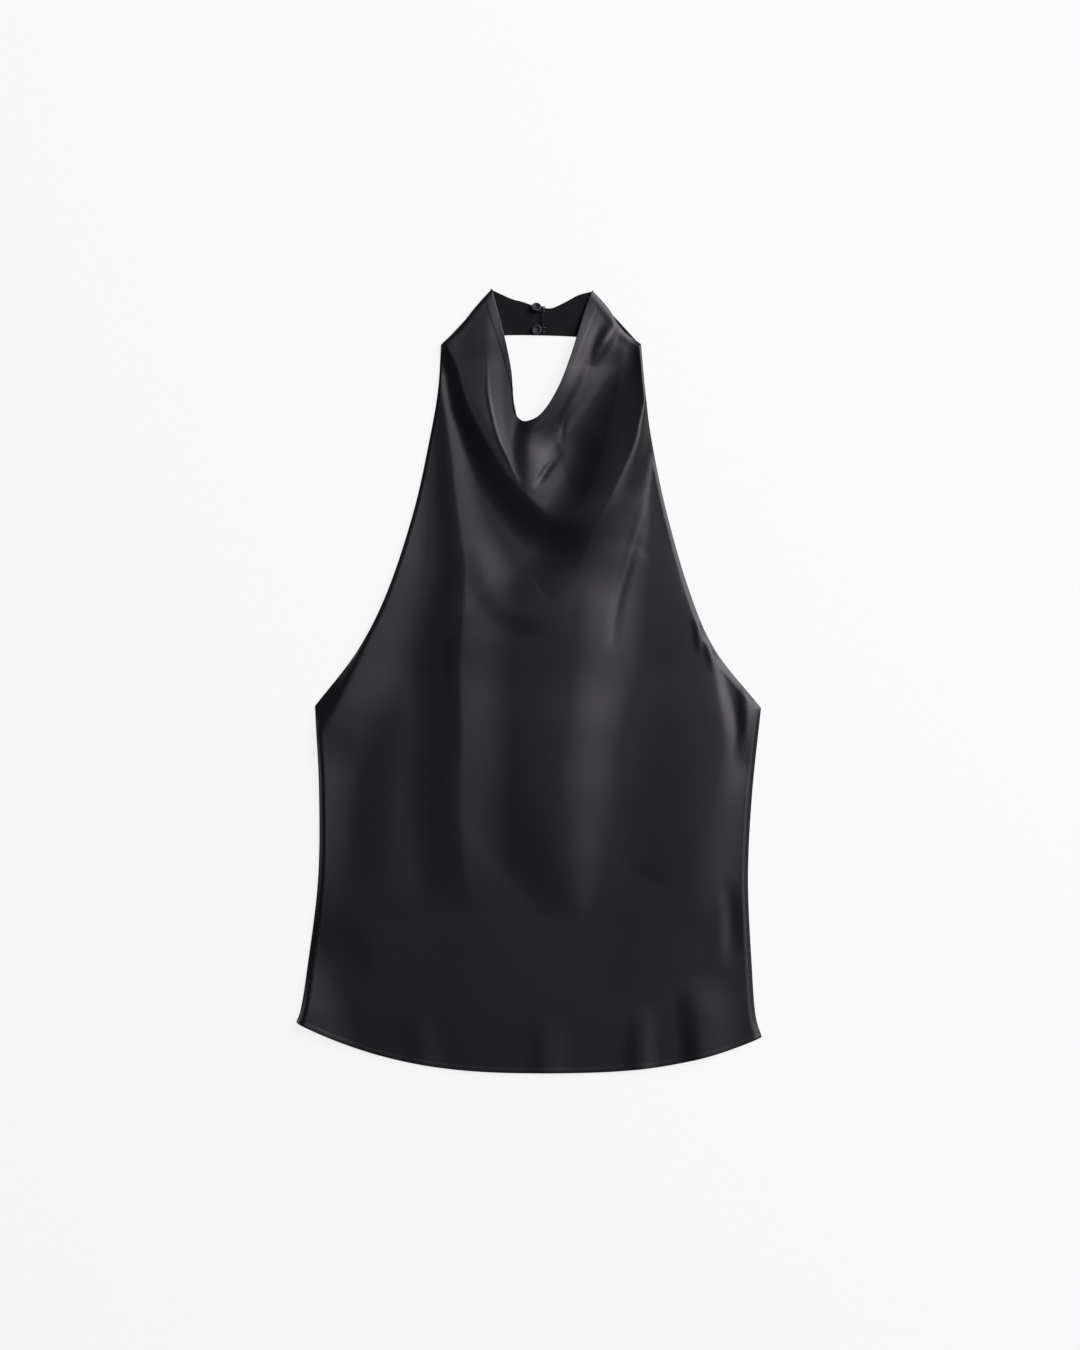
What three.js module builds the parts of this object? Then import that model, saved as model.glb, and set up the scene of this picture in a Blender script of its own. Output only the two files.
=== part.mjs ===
// A halter neck top in black satin with a draped cowl front, laid out flat on its back.
//
// A maker cuts and sews these pieces: a front with a cowl neck, a low back, and a neck strap in two
// halves that closes at the centre back with two small buttons and two cord loops. The front's top edge
// folds over at each side of the neck and meets the strap there. The front lies on the back below the
// arms, and on the surface between the back's top edge and the strap.
//
// Millimetres. X runs across the garment, Y from the hem to the neck, and Z up off the surface that it
// lies on. The origin is the middle of the underside.
import * as THREE from "three";

// Driving sizes. The cloth is drawn as a wall, thicker than the real satin.
const WALL = 1.2;
const SEAM_GAP = 0.3;
const LAYER_TOP = WALL + SEAM_GAP;
const FRONT_COLUMNS = 38;
const SATIN = { color: 0x1b1a1e, roughness: 0.38, metalness: 0 };
const HORN = { color: 0x4a494c, roughness: 0.35, metalness: 0 };

// Rows across the front, from the neckline to the hem: both edges, the lowest point of the dip between
// them, how full the dip is on each side (1 is a V, 2 a parabola), and the steps down to the next row.
// A corner in the outline ends one smooth stretch and starts another.
const FRONT_ROWS = [
  { left: [-33.3, 352.8], low: [-4.5, 233.6], right: [56.7, 351.4], full: [1.5, 1.6], steps: 5 },
  { left: [-47.7, 336.9], low: [0.9, 216.9], right: [70.7, 336.2], full: [1.5, 1.5], steps: 5 },
  { left: [-62.1, 319.1], low: [7.2, 191.7], right: [83.7, 316.8], full: [1.5, 1.3], steps: 6 },
  { left: [-79.2, 302.4], low: [11.7, 158.4], right: [100.8, 302.9], full: [1.5, 1.2], steps: 6, corner: true },
  { left: [-81.9, 261.9], low: [12.6, 108.9], right: [104.4, 261.9], full: [1.6, 1.5], steps: 6 },
  { left: [-89.1, 219.6], low: [12.6, 63.9], right: [109.8, 219.6], full: [1.8, 1.7], steps: 4 },
  { left: [-103.5, 153.9], low: [9.9, 9.9], right: [123.3, 153.9], full: [1.9, 1.9], steps: 4 },
  { left: [-126.9, 81.9], low: [7.2, -44.1], right: [144.0, 81.9], full: [2, 2], steps: 3 },
  { left: [-153.9, 27.9], low: [7.2, -84.6], right: [167.4, 27.9], full: [2, 2], steps: 3 },
  { left: [-192.6, -22.5], low: [7.2, -120.6], right: [208.8, -24.3], full: [2, 2], steps: 5, corner: true },
  { left: [-189.0, -98.1], low: [7.2, -179.1], right: [200.7, -102.6], full: [2, 2], steps: 5 },
  { left: [-189.9, -179.1], low: [7.2, -242.1], right: [197.1, -179.1], full: [2.1, 2.1], steps: 4 },
  { left: [-199.8, -260.1], low: [7.2, -305.1], right: [200.7, -260.1], full: [2.3, 2.3], steps: 3 },
  { left: [-205.2, -294.3], low: [8.0, -336.0], right: [203.8, -300.1], full: [2.5, 2.6], steps: 2 },
  { left: [-209.6, -307.3], low: [9.9, -352.9], right: [209.6, -320.4], full: [2.5, 2.8], steps: 0 },
];
const COLLAR_ROWS = 3;
const UNDERARM_ROW = 9;

// The neckline's own curve, from the left fold to the right one. Its lowest point takes the middle column.
const NECKLINE = [
  [-33.3, 352.8],
  [-22.2, 310.9],
  [-15.7, 278.1],
  [-12.8, 242.1],
  [-4.5, 233.6],
  [9.9, 239.4],
  [25.2, 261.9],
  [37.4, 292.5],
  [48.6, 329.4],
  [56.7, 351.4],
];
const NECKLINE_LOW = 4;

// The folds of the front. Each crest is a smooth line through its points, followed downwards or from left
// to right, with its heights at the start, middle and end, and its half width on each side of the line.
// Sharp is 0 for a soft roll and 1 for a crease.
const FOLDS = [
  {
    name: "cowl roll",
    crest: [
      [-74, 302], [-57, 266], [-39, 229], [-21, 199], [-4, 179], [13, 167],
      [24, 174], [39, 197], [57, 226], [71, 260], [79, 298],
    ],
    heights: [5, 14, 7],
    inside: 48,
    outside: 16,
    sharp: 0,
  },
  {
    name: "second drape",
    crest: [
      [-67, 217], [-51, 145], [-31, 86], [-8, 64], [14, 58],
      [37, 67], [57, 91], [75, 122], [93, 158], [104, 194],
    ],
    heights: [0, 7, 4],
    inside: 50,
    outside: 16,
    sharp: 0,
  },
  {
    name: "left long fold",
    crest: [[-77, 274], [-67, 226], [-57, 163], [-44, 91], [-33, 1], [-28, -89], [-32, -179]],
    heights: [4, 6, 0],
    inside: 24,
    outside: 20,
    sharp: 0,
  },
  {
    name: "right long fold",
    crest: [[104, 244], [100, 203], [89, 154], [73, 95], [61, 28], [57, -44], [51, -116], [44, -197]],
    heights: [5, 7, 0],
    inside: 24,
    outside: 20,
    sharp: 0,
  },
  {
    name: "right twin fold",
    crest: [[109, 190], [104, 127], [94, 55], [82, -17], [69, -80]],
    heights: [2, 3.5, 0],
    inside: 15,
    outside: 13,
    sharp: 0,
  },
  {
    name: "left armhole fold",
    crest: [[-108, 122], [-126, 64], [-143, 14], [-167, -49], [-179, -98]],
    heights: [1, 4, 1],
    inside: 20,
    outside: 14,
    sharp: 0,
  },
  {
    name: "left middle fold",
    crest: [[-112, 37], [-116, -35], [-113, -107], [-109, -170]],
    heights: [0, 2, 0],
    inside: 20,
    outside: 20,
    sharp: 0,
  },
  {
    name: "collar crease",
    crest: [[-37, 343], [-37, 307], [-37, 274], [-33, 251], [-27, 229], [-21, 208], [-14, 190], [-9, 176]],
    heights: [2, 6, 2],
    inside: 16,
    outside: 10,
    sharp: 0.8,
  },
  {
    name: "right collar fold",
    crest: [[53, 343], [47, 316], [40, 287], [29, 264], [17, 244], [14, 217], [13, 190]],
    heights: [2, 6, 4],
    inside: 10,
    outside: 12,
    sharp: 0.1,
  },
  {
    name: "right collar pleat",
    crest: [[68, 329], [60, 300], [53, 275], [43, 248], [33, 228]],
    heights: [3, 5, 1],
    inside: 8,
    outside: 8,
    sharp: 0.2,
  },
  {
    name: "right shoulder pleat",
    crest: [[82, 309], [69, 287], [58, 268], [46, 248]],
    heights: [4, 5, 1],
    inside: 9,
    outside: 9,
    sharp: 0.2,
  },
  {
    name: "right side fold",
    crest: [[188, -17], [179, -80], [168, -152], [154, -224]],
    heights: [1, 3, 0],
    inside: 20,
    outside: 20,
    sharp: 0,
  },
  {
    name: "right hem swell",
    crest: [[197, -197], [192, -269], [185, -314]],
    heights: [0, 2.5, 1.5],
    inside: 14,
    outside: 22,
    sharp: 0,
  },
  {
    name: "left hem swell",
    crest: [[-190, -275], [-170, -287], [-148, -296]],
    heights: [0.5, 2.5, 0],
    inside: 16,
    outside: 16,
    sharp: 0,
  },
];
const CREST_STEPS = 32;

// The back's top edge dips between the arms. Its sides and hem lie just inside the front's.
const BACK_DIP = 24;
const BACK_INSET = 0.8;
const BACK_STEPS = 24;

// The neck strap: its top and bottom edges, and where its two halves meet.
const STRAP_TOP = [
  [-32.6, 351.6], [-15.7, 343.9], [-5.5, 341.1], [2.3, 338.4], [13.8, 335.7],
  [21, 335.7], [32.1, 340.7], [44.1, 347.1], [56, 350.4],
];
const STRAP_BOTTOM = [
  [-78, 302.9], [-50, 308.4], [-22, 310.9], [10, 310.9], [41.8, 309.6], [70, 306.5], [99.4, 303.2],
];
const STRAP_MEET_X = 10.6;
const STRAP_MEET_GAP = 0.6;
const STRAP_STEPS = 12;

// Small shank buttons on the strap's left half, each held by a cord loop from the right half. The upper
// one leans out over the strap's top edge.
const BUTTON_RADIUS = 4.5;
const BUTTON_THICK = 1.9;
const BUTTON_RIM = 0.9;
const BUTTON_DISH = 0.7;
const SHANK_RADIUS = 1.0;
const SHANK_HEIGHT = 2.4;
const BUTTONS = [
  { name: "upper", at: [6.6, 334.6], lean: 30 },
  { name: "lower", at: [6.9, 315.9], lean: 0 },
];
const LOOP_CORD = 1.2;
const LOOP_REACH = 8.5;
const ROUND_SIDES = 24;
const CORD_SIDES = 8;
const CORD_STEPS = 28;
const TURN_STEPS = 8;

const mix = (a, b, t) => a + (b - a) * t;
const clamp01 = (t) => Math.min(1, Math.max(0, t));
const smooth = (t) => clamp01(t) ** 2 * (3 - 2 * clamp01(t));

// A smooth curve through values at rising keys, with its slopes taken from the neighbours.
function curve(keys, values, at) {
  const last = keys.length - 1;
  let i = 0;
  while (i < last - 1 && at > keys[i + 1]) i += 1;
  const slope = (k) => {
    const a = Math.max(0, k - 1);
    const b = Math.min(last, k + 1);
    return (values[b] - values[a]) / (keys[b] - keys[a]);
  };
  const span = keys[i + 1] - keys[i];
  const t = (at - keys[i]) / span;
  const rise = values[i + 1] - values[i];
  const a = slope(i) * span - rise;
  const b = -slope(i + 1) * span + rise;
  return values[i] + t * rise + t * (1 - t) * ((1 - t) * a + t * b);
}

// Keys for a curve through points: the length along them, from 0 to 1.
function lengthKeys(points) {
  const keys = [0];
  for (let i = 1; i < points.length; i += 1) {
    keys.push(keys[i - 1] + Math.hypot(points[i][0] - points[i - 1][0], points[i][1] - points[i - 1][1]));
  }
  return keys.map((k) => k / keys[keys.length - 1]);
}

// As many points as asked, evenly along a smooth curve through a few.
function pointsAlong(points, steps) {
  const keys = lengthKeys(points);
  return Array.from({ length: steps + 1 }, (_, i) =>
    [0, 1].map((axis) => curve(keys, points.map((p) => p[axis]), i / steps)),
  );
}

// The front's row at a fraction of the way down its rows, as one set of numbers. A corner splits the curve.
function rowAt(place) {
  const corners = [0, ...FRONT_ROWS.flatMap((row, i) => (row.corner ? [i] : [])), FRONT_ROWS.length - 1];
  const end = corners.findIndex((c, i) => i > 0 && (place <= c || i === corners.length - 1));
  const stretch = FRONT_ROWS.slice(corners[end - 1], corners[end] + 1);
  const keys = stretch.map((_, i) => corners[end - 1] + i);
  const at = (pick) => curve(keys, stretch.map(pick), place);
  return {
    left: [at((r) => r.left[0]), at((r) => r.left[1])],
    low: [at((r) => r.low[0]), at((r) => r.low[1])],
    right: [at((r) => r.right[0]), at((r) => r.right[1])],
    full: [at((r) => r.full[0]), at((r) => r.full[1])],
  };
}

// A point on a row, from 0 at its left edge through 0.5 at the lowest point to 1 at its right edge.
function onRow(row, across) {
  const left = across <= 0.5;
  const edge = left ? row.left : row.right;
  const t = left ? across * 2 : (1 - across) * 2;
  const full = row.full[left ? 0 : 1];
  return [mix(edge[0], row.low[0], t), mix(edge[1], row.low[1], 1 - (1 - t) ** full)];
}

const neckKeys = (() => {
  const keys = lengthKeys(NECKLINE);
  const middle = keys[NECKLINE_LOW];
  return keys.map((k) => (k <= middle ? (0.5 * k) / middle : 0.5 + (0.5 * (k - middle)) / (1 - middle)));
})();

// Where the front's cloth lies in plan, by its row place and the fraction across.
function frontPlan(place, across) {
  const point = onRow(rowAt(place), across);
  const share = Math.max(0, 1 - place / COLLAR_ROWS) ** 2;
  if (share === 0) return point;
  const plain = onRow(rowAt(0), across);
  return point.map((value, axis) => {
    const shaped = curve(neckKeys, NECKLINE.map((p) => p[axis]), across);
    return value + share * (shaped - plain[axis]);
  });
}

// How far one fold lifts the cloth at a point.
const crests = FOLDS.map((fold) => pointsAlong(fold.crest, CREST_STEPS));
function foldLift(fold, crest, x, y) {
  let best = { distance: Infinity };
  for (let i = 0; i < CREST_STEPS; i += 1) {
    const [ax, ay] = crest[i];
    const [dx, dy] = [crest[i + 1][0] - ax, crest[i + 1][1] - ay];
    const length = Math.hypot(dx, dy);
    const t = clamp01(((x - ax) * dx + (y - ay) * dy) / length ** 2);
    const [ox, oy] = [x - ax - t * dx, y - ay - t * dy];
    const distance = Math.hypot(ox, oy);
    if (distance < best.distance) {
      const side = distance > 0 ? (dx * oy - dy * ox) / (length * distance) : 0;
      best = { distance, side, along: (i + t) / CREST_STEPS };
    }
  }
  const width = mix(fold.outside, fold.inside, (best.side + 1) / 2);
  const s = best.distance / width;
  if (s >= 1) return 0;
  const height = curve([0, 0.5, 1], fold.heights, best.along);
  return height * mix((1 + Math.cos(Math.PI * s)) / 2, (1 - s) ** 2, fold.sharp);
}

// The back's top edge, and the strap's bottom edge, by X.
const [armLeft, armRight] = [FRONT_ROWS[UNDERARM_ROW].left, FRONT_ROWS[UNDERARM_ROW].right];
const backTop = (x) => {
  const t = clamp01((x - armLeft[0]) / (armRight[0] - armLeft[0]));
  return mix(armLeft[1], armRight[1], t) - BACK_DIP * 4 * t * (1 - t);
};
const strapBottom = (x) => curve(STRAP_BOTTOM.map((p) => p[0]), STRAP_BOTTOM.map((p) => p[1]), x);

// The height of the front's underside: on the back or the strap where they are under it, on the surface
// between them, and lifted by its folds.
const STEP_CLEAR = 8;
const STEP_RUN = 16;
function frontUnderside(x, y) {
  const onBack = smooth((backTop(x) + STEP_CLEAR + STEP_RUN - y) / STEP_RUN);
  const onStrap = smooth((y - strapBottom(x) + STEP_CLEAR + STEP_RUN) / STEP_RUN);
  const rest = mix(SEAM_GAP, LAYER_TOP, Math.max(onBack, onStrap));
  return FOLDS.reduce((sum, fold, i) => sum + foldLift(fold, crests[i], x, y), rest);
}

// A wall of cloth from a grid of points on its underside: each is moved out along the cloth's own normal
// for the upper face, and the rim closes the two. Its facets split along the folds, which run in towards
// the middle.
function clothWall(grid) {
  const rows = grid.length;
  const columns = grid[0].length;
  const under = grid.flat().map((p) => new THREE.Vector3(...p));
  const index = (r, c) => r * columns + c;
  const within = (i, count) => Math.min(count - 1, Math.max(0, i));
  const pick = (r, c) => under[index(within(r, rows), within(c, columns))];
  const upper = under.map((point, i) => {
    const [r, c] = [Math.floor(i / columns), i % columns];
    const across = pick(r, c + 1).clone().sub(pick(r, c - 1));
    const down = pick(r + 1, c).clone().sub(pick(r - 1, c));
    return down.cross(across).normalize().multiplyScalar(WALL).add(point);
  });
  const positions = [...under, ...upper].flatMap((p) => [p.x, p.y, p.z]);
  const top = under.length;
  const faces = [];
  const quad = (a, b, c, d) => faces.push(a, b, c, a, c, d);
  for (let r = 0; r < rows - 1; r += 1) {
    for (let c = 0; c < columns - 1; c += 1) {
      const ring = [index(r, c), index(r + 1, c), index(r + 1, c + 1), index(r, c + 1)];
      const [i, j, k, l] = c < columns / 2 - 1 ? ring : [...ring.slice(1), ring[0]];
      quad(top + i, top + j, top + k, top + l);
      quad(i, l, k, j);
    }
  }
  const rim = [];
  for (let c = 0; c < columns - 1; c += 1) rim.push(index(0, c));
  for (let r = 0; r < rows - 1; r += 1) rim.push(index(r, columns - 1));
  for (let c = columns - 1; c > 0; c -= 1) rim.push(index(rows - 1, c));
  for (let r = rows - 1; r > 0; r -= 1) rim.push(index(r, 0));
  rim.forEach((a, i) => {
    const b = rim[(i + 1) % rim.length];
    quad(a, top + a, top + b, b);
  });
  const geometry = new THREE.BufferGeometry();
  geometry.setAttribute("position", new THREE.Float32BufferAttribute(positions, 3));
  geometry.setIndex(faces);
  return geometry;
}

// A flat piece of cloth of one wall's thickness, from its outline.
function flatCloth(outline) {
  const shape = new THREE.Shape(outline.map(([x, y]) => new THREE.Vector2(x, y)));
  return new THREE.ExtrudeGeometry(shape, { depth: WALL, bevelEnabled: false });
}

function named(name, geometry, look) {
  const mesh = new THREE.Mesh(geometry, new THREE.MeshStandardMaterial(look));
  mesh.name = name;
  return mesh;
}

// The front is one piece of satin, cut on the bias, with the cowl and its folds.
function frontPanel() {
  const places = FRONT_ROWS.flatMap(({ steps }, i) => Array.from({ length: steps }, (_, k) => i + k / steps));
  places.push(FRONT_ROWS.length - 1);
  const grid = places.map((place) =>
    Array.from({ length: FRONT_COLUMNS + 1 }, (_, c) => {
      const [x, y] = frontPlan(place, c / FRONT_COLUMNS);
      return [x, y, frontUnderside(x, y)];
    }),
  );
  return named("front_panel", clothWall(grid), SATIN);
}

// The back is a low panel from under the arms to the hem, flat on the surface.
function backPanel() {
  const sides = Array.from({ length: BACK_STEPS + 1 }, (_, i) =>
    rowAt(mix(UNDERARM_ROW, FRONT_ROWS.length - 1, i / BACK_STEPS)),
  );
  const inset = ([x, y], direction) => [x + direction * BACK_INSET, y];
  const left = sides.map((row) => inset(row.left, 1));
  const right = sides.map((row) => inset(row.right, -1)).reverse();
  const hemRow = rowAt(FRONT_ROWS.length - 1);
  const hem = Array.from({ length: BACK_STEPS - 1 }, (_, i) => {
    const [x, y] = onRow(hemRow, (i + 1) / BACK_STEPS);
    return [x, y + BACK_INSET];
  });
  const top = Array.from({ length: BACK_STEPS - 1 }, (_, i) => {
    const x = mix(armRight[0], armLeft[0], (i + 1) / BACK_STEPS);
    return [x, backTop(x)];
  });
  return named("back_panel", flatCloth([...left, ...hem, ...right, ...top]), SATIN);
}

// One half of the neck strap, from the fold at the side of the neck to the centre back.
function strapHalf(name, side) {
  const meet = STRAP_MEET_X + (side * STRAP_MEET_GAP) / 2;
  const keep = ([x]) => side * (x - meet) > 0.5;
  const heightAt = (edge, x) => curve(edge.map((p) => p[0]), edge.map((p) => p[1]), x);
  const top = pointsAlong(STRAP_TOP, 2 * STRAP_STEPS).filter(keep);
  const bottom = pointsAlong(STRAP_BOTTOM, 2 * STRAP_STEPS).filter(keep);
  const [topEnd, bottomEnd] = [[meet, heightAt(STRAP_TOP, meet)], [meet, heightAt(STRAP_BOTTOM, meet)]];
  const outline =
    side < 0
      ? [...top, topEnd, bottomEnd, ...bottom.reverse()]
      : [bottomEnd, topEnd, ...top, ...bottom.reverse()];
  return named(name, flatCloth(outline), SATIN);
}

// A small dished button with a raised rim on a thread shank.
function button({ name, at, lean }) {
  const under = SHANK_HEIGHT;
  const face = under + BUTTON_THICK;
  const profile = [
    [0, 0],
    [SHANK_RADIUS, 0],
    [SHANK_RADIUS, under],
    [BUTTON_RADIUS - BUTTON_RIM / 2, under],
    [BUTTON_RADIUS, under + BUTTON_THICK / 2],
    [BUTTON_RADIUS - BUTTON_RIM / 3, face],
    [BUTTON_RADIUS - BUTTON_RIM, face],
    [BUTTON_RADIUS - 1.8 * BUTTON_RIM, face - BUTTON_DISH],
    [0, face - BUTTON_DISH],
  ].map(([r, z]) => new THREE.Vector2(r, z));
  const geometry = new THREE.LatheGeometry(profile, ROUND_SIDES).rotateX(Math.PI / 2);
  const mesh = named(`button_${name}`, geometry, HORN);
  const tilt = THREE.MathUtils.degToRad(lean);
  mesh.rotation.x = -tilt;
  mesh.position.set(at[0], at[1], LAYER_TOP + SHANK_RADIUS * Math.sin(tilt));
  return mesh;
}

// A cord loop sewn to the strap's right half, round the button's shank.
function loop({ name, at }) {
  const bend = SHANK_RADIUS + SEAM_GAP + LOOP_CORD / 2;
  const path = new THREE.CurvePath();
  const z = LAYER_TOP + LOOP_CORD / 2;
  const place = (x, y) => new THREE.Vector3(at[0] + x, at[1] + y, z);
  path.add(new THREE.LineCurve3(place(LOOP_REACH, bend), place(0, bend)));
  const turn = new THREE.CatmullRomCurve3(
    Array.from({ length: TURN_STEPS + 1 }, (_, i) => {
      const angle = Math.PI / 2 + (Math.PI * i) / TURN_STEPS;
      return place(bend * Math.cos(angle), bend * Math.sin(angle));
    }),
  );
  path.add(turn);
  path.add(new THREE.LineCurve3(place(0, -bend), place(LOOP_REACH, -bend)));
  const section = new THREE.Shape(
    Array.from({ length: CORD_SIDES }, (_, i) => {
      const angle = (2 * Math.PI * (i + 0.5)) / CORD_SIDES;
      return new THREE.Vector2((LOOP_CORD / 2) * Math.cos(angle), (LOOP_CORD / 2) * Math.sin(angle));
    }),
  );
  const geometry = new THREE.ExtrudeGeometry(section, { steps: CORD_STEPS, extrudePath: path });
  return named(`loop_${name}`, geometry, SATIN);
}

const top = new THREE.Group();
top.add(frontPanel(), backPanel(), strapHalf("neck_strap_left", -1), strapHalf("neck_strap_right", 1));
for (const fastening of BUTTONS) top.add(button(fastening), loop(fastening));

export default top;
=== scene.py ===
import math

import bmesh
import bpy
import numpy as np
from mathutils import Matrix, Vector


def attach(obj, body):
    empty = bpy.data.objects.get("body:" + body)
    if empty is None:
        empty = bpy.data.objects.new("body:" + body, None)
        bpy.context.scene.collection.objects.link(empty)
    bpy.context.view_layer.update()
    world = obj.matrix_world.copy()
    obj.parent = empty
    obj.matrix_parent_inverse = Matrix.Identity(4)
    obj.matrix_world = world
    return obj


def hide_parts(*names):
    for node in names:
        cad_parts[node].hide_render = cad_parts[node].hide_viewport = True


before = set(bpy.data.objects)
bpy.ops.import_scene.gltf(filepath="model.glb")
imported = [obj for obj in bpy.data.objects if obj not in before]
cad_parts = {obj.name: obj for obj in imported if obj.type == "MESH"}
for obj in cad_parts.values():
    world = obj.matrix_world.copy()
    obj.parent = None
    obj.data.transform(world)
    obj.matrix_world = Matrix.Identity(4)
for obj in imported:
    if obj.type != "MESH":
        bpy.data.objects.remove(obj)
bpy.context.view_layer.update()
MM = 0.001

# The camera looks straight down on the laid-out top, as the photo does, with its hem towards the bottom of
# the picture. The view is as tall as a picture of 1350 pixels in which each pixel is 0.9 mm of the cloth.
PICTURE_HEIGHT = 1350 * 0.9 * MM
CAMERA_HEIGHT = 4.0
CAMERA_AIM = (9.9 * MM, 5.4 * MM)
SENSOR = 36.0

camera_data = bpy.data.cameras.new("camera")
camera_data.sensor_width = SENSOR
camera_data.sensor_fit = "AUTO"
camera_data.lens = SENSOR * CAMERA_HEIGHT / PICTURE_HEIGHT
camera_data.dof.use_dof = False
camera = bpy.data.objects.new("camera", camera_data)
bpy.context.collection.objects.link(camera)
camera.location = (CAMERA_AIM[0], CAMERA_AIM[1], CAMERA_HEIGHT)
camera.rotation_euler = (0, 0, 0)
bpy.context.scene.camera = camera
bpy.context.scene.view_settings.view_transform = "Standard"
bpy.context.scene.view_settings.look = "None"

# The light is one large soft box on the right, a little towards the neck. The room round it is dim overhead
# and paler towards the floor, so that steep folds still catch an edge.
KEY = dict(place=(2.7, 1.9, 3.1), size=(2.6, 4.4), watts=286, colour=(1.0, 0.952, 1.035))
ROOM_OVERHEAD = (0.034, 0.032, 0.044, 1)
ROOM_SIDES = (0.055, 0.052, 0.068, 1)


def soft_box(name, place, size, watts, colour):
    """A rectangular lamp that faces the middle of the cloth and isn't seen itself."""
    data = bpy.data.lights.new(name, "AREA")
    data.shape = "RECTANGLE"
    data.size = size[0]
    data.size_y = size[1]
    data.energy = watts
    data.color = colour
    light = bpy.data.objects.new(name, data)
    bpy.context.collection.objects.link(light)
    light.location = place
    light.rotation_euler = (-Vector(place)).to_track_quat("-Z", "Y").to_euler()
    light.visible_camera = False
    return light


soft_box("key_light", **KEY)


class Value:
    """A node's output socket. The operators add Math nodes to its tree."""

    def __init__(self, tree, socket):
        self.tree = tree
        self.socket = socket

    def maths(self, operation, first, second):
        return self.tree.add("ShaderNodeMath", {"operation": operation}, {0: first, 1: second})

    def __add__(self, other):
        return self.maths("ADD", self, other)

    def __radd__(self, other):
        return self.maths("ADD", other, self)

    def __mul__(self, other):
        return self.maths("MULTIPLY", self, other)

    def __rmul__(self, other):
        return self.maths("MULTIPLY", other, self)


class Shading:
    """The node tree of a finish or of the room's light."""

    def __init__(self, tree):
        self.tree = tree
        tree.nodes.clear()

    def add(self, kind, settings, sockets, result=0):
        """Any node: its type, its settings, then the values or links of its sockets."""
        node = self.tree.nodes.new(kind)
        for name, value in settings.items():
            if name == "stops":
                self.set_stops(node.color_ramp, value)
            else:
                setattr(node, name, value)
        for name, value in sockets.items():
            if isinstance(value, Value):
                self.tree.links.new(value.socket, node.inputs[name])
            else:
                node.inputs[name].default_value = value
        return Value(self, node.outputs[result]) if len(node.outputs) else None

    def set_stops(self, ramp, stops):
        while len(ramp.elements) < len(stops):
            ramp.elements.new(1)
        for element, (place, colour) in zip(ramp.elements, stops):
            element.position = place
            element.color = colour


room = bpy.data.worlds.new("room")
room.use_nodes = True
bpy.context.scene.world = room
room_light = Shading(room.node_tree)
direction = room_light.add("ShaderNodeTexCoord", {}, {}, "Generated")
height = room_light.add("ShaderNodeSeparateXYZ", {}, {"Vector": direction}, "Z")
ROOM_STOPS = [(0.0, ROOM_SIDES), (0.25, ROOM_SIDES), (0.75, ROOM_OVERHEAD), (1.0, ROOM_OVERHEAD)]
room_colour = room_light.add("ShaderNodeValToRGB", {"stops": ROOM_STOPS}, {"Fac": height})
background = room_light.add("ShaderNodeBackground", {}, {"Color": room_colour, "Strength": 1.0})
room_light.add("ShaderNodeOutputWorld", {}, {"Surface": background})

# The floor is a plain pale sweep, far wider than the top. It glows a little, so that it stays as even as the
# photo's background, with only a soft shadow under the cloth.
FLOOR_SIZE = 40.0
FLOOR_DROP = 0.4 * MM
FLOOR_GLOW = (0.845, 0.845, 0.845, 1)
FLOOR_PAINT = (0.12, 0.12, 0.12, 1)

floor_mesh = bpy.data.meshes.new("floor")
half_floor = FLOOR_SIZE / 2
corners = ((-1, -1), (1, -1), (1, 1), (-1, 1))
floor_corners = [(x * half_floor, y * half_floor, -FLOOR_DROP) for x, y in corners]
floor_mesh.from_pydata(floor_corners, [], [(0, 1, 2, 3)])
floor = bpy.data.objects.new("floor", floor_mesh)
bpy.context.collection.objects.link(floor)
floor_finish = bpy.data.materials.new("floor")
floor_finish.use_nodes = True
floor_shading = Shading(floor_finish.node_tree)
paint = floor_shading.add("ShaderNodeBsdfDiffuse", {}, {"Color": FLOOR_PAINT})
glow = floor_shading.add("ShaderNodeEmission", {}, {"Color": FLOOR_GLOW, "Strength": 1.0})
both = floor_shading.add("ShaderNodeAddShader", {}, {0: paint, 1: glow})
floor_shading.add("ShaderNodeOutputMaterial", {}, {"Surface": both})
floor_mesh.materials.append(floor_finish)

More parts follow.
